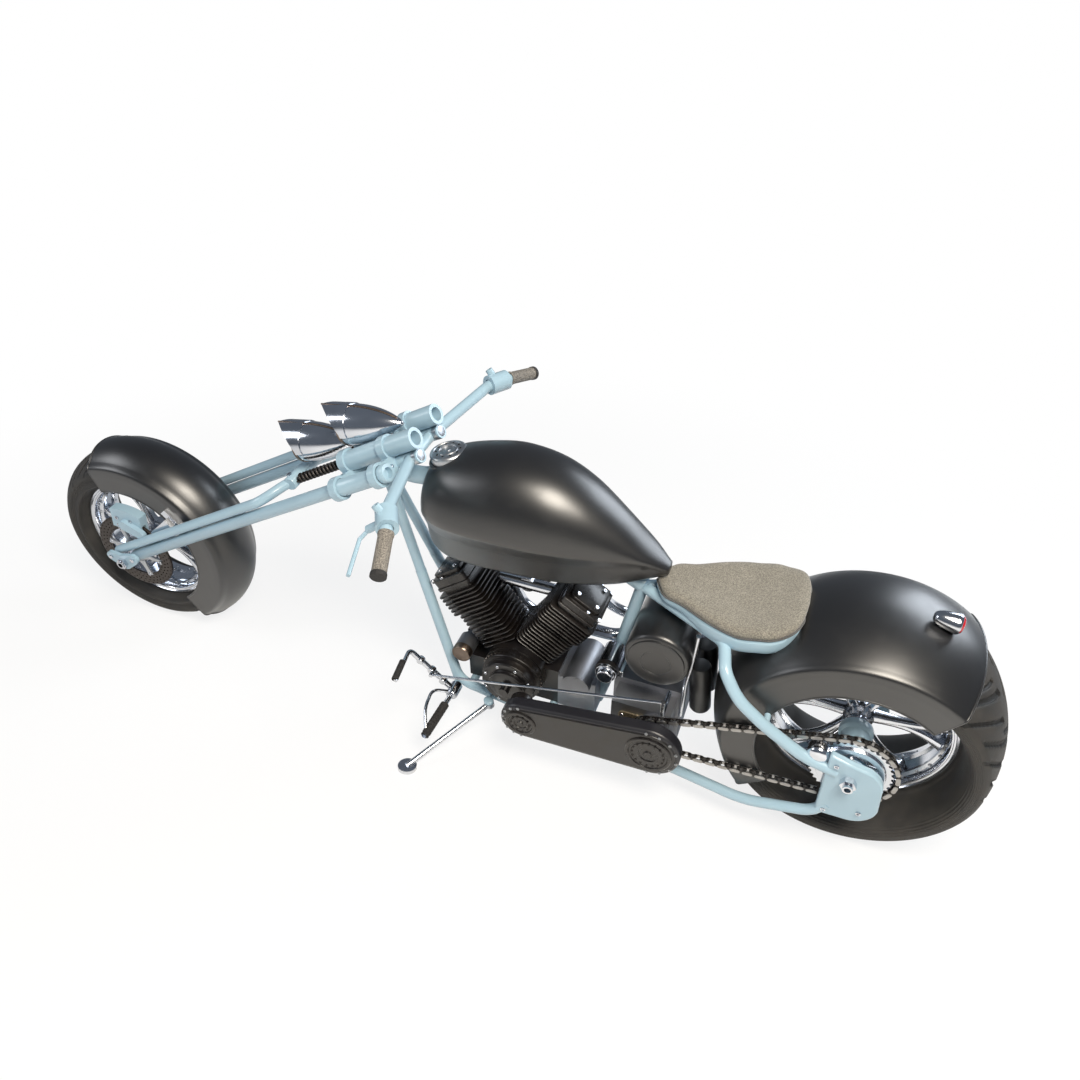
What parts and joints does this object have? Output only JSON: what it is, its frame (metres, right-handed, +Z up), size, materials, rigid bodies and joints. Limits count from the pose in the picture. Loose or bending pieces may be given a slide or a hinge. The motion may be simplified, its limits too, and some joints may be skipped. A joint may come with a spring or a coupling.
{
  "type": "chopper motorcycle",
  "caption": "Long rigid-frame chopper motorcycle with a raked spring fork, wide rear tyre, V-twin engine, wide bars and a side stand; wheels, steering and stand move.",
  "frame": {"origin": "on the floor, under the middle of the overall box of the parked machine, which leans 9 degrees to its left on the side stand", "axes": "+X forward along the machine, +Y to the rider's left, +Z up"},
  "size_m": [2.8189, 0.938, 0.9725],
  "materials": {
    "frame_paint": "semi-gloss light blue powder coat",
    "black_paint": "satin black",
    "engine_black": "satin black",
    "dark_steel": "dark satin",
    "cast_aluminium": "satin",
    "chrome": "polished",
    "disc_steel": "brushed, dark",
    "tyre": "tread, matte",
    "grip_rubber": "textured",
    "seat_cover": "brushed suede"
  },
  "bodies": {
    "frame": {"frame": "frame_paint", "axle_plates": "frame_paint", "crankcase": "engine_black", "front_cylinder": "engine_black", "rear_cylinder": "engine_black", "primary_case": "engine_black", "gearbox": "cast_aluminium", "starter": "chrome", "oil_filter": "engine_black", "oil_tank": "engine_black", "exhaust": "chrome", "air_cleaner": "chrome", "fuel_tank": "black_paint", "fuel_cap": "chrome", "seat_pan": "frame_paint", "seat_pad": "seat_cover", "rear_fender": "black_paint", "tail_light": "chrome", "chain": "dark_steel", "rear_caliper": "frame_paint", "foot_controls": "chrome", "shift_rod": "chrome", "rear_axle": "chrome"},
    "rear_wheel": {"rear_tyre": "tyre", "rear_wheel": "chrome", "rear_sprocket": "chrome", "rear_disc": "disc_steel"},
    "front_fork": {"fork_legs": "frame_paint", "push_legs": "frame_paint", "fork_springs": "dark_steel", "steering_trees": "frame_paint", "rockers": "frame_paint", "handlebar": "frame_paint", "grips": "grip_rubber", "hand_levers": "frame_paint", "headlights": "chrome", "front_fender": "black_paint", "fender_brackets": "chrome", "front_caliper": "frame_paint", "front_axle": "chrome"},
    "front_wheel": {"front_tyre": "tyre", "front_wheel": "chrome", "brake_disc": "disc_steel"},
    "side_stand": {"side_stand": "chrome"}
  },
  "joints": [
    {"name": "rear_wheel_spin", "type": "hinge", "parent": "frame", "child": "rear_wheel", "pos_m": [-1.06947, -0.08199, 0.34049], "axis": [-0.0002, 0.9877, -0.1564], "continuous": true},
    {"name": "steering", "type": "hinge", "parent": "frame", "child": "front_fork", "pos_m": [0.23122, -0.01034, 0.79086], "axis": [-0.8609, 0.0794, 0.5026], "range_deg": [-23, 23]},
    {"name": "front_wheel_spin", "type": "hinge", "parent": "front_fork", "child": "front_wheel", "pos_m": [1.10048, -0.08684, 0.30655], "axis": [-0.0002, 0.9877, -0.1564], "continuous": true},
    {"name": "side_stand_fold", "type": "hinge", "parent": "frame", "child": "side_stand", "pos_m": [-0.09486, 0.01209, 0.08921], "axis": [0.056, 0.2732, 0.9603], "range_deg": [0, 105]}
  ]
}
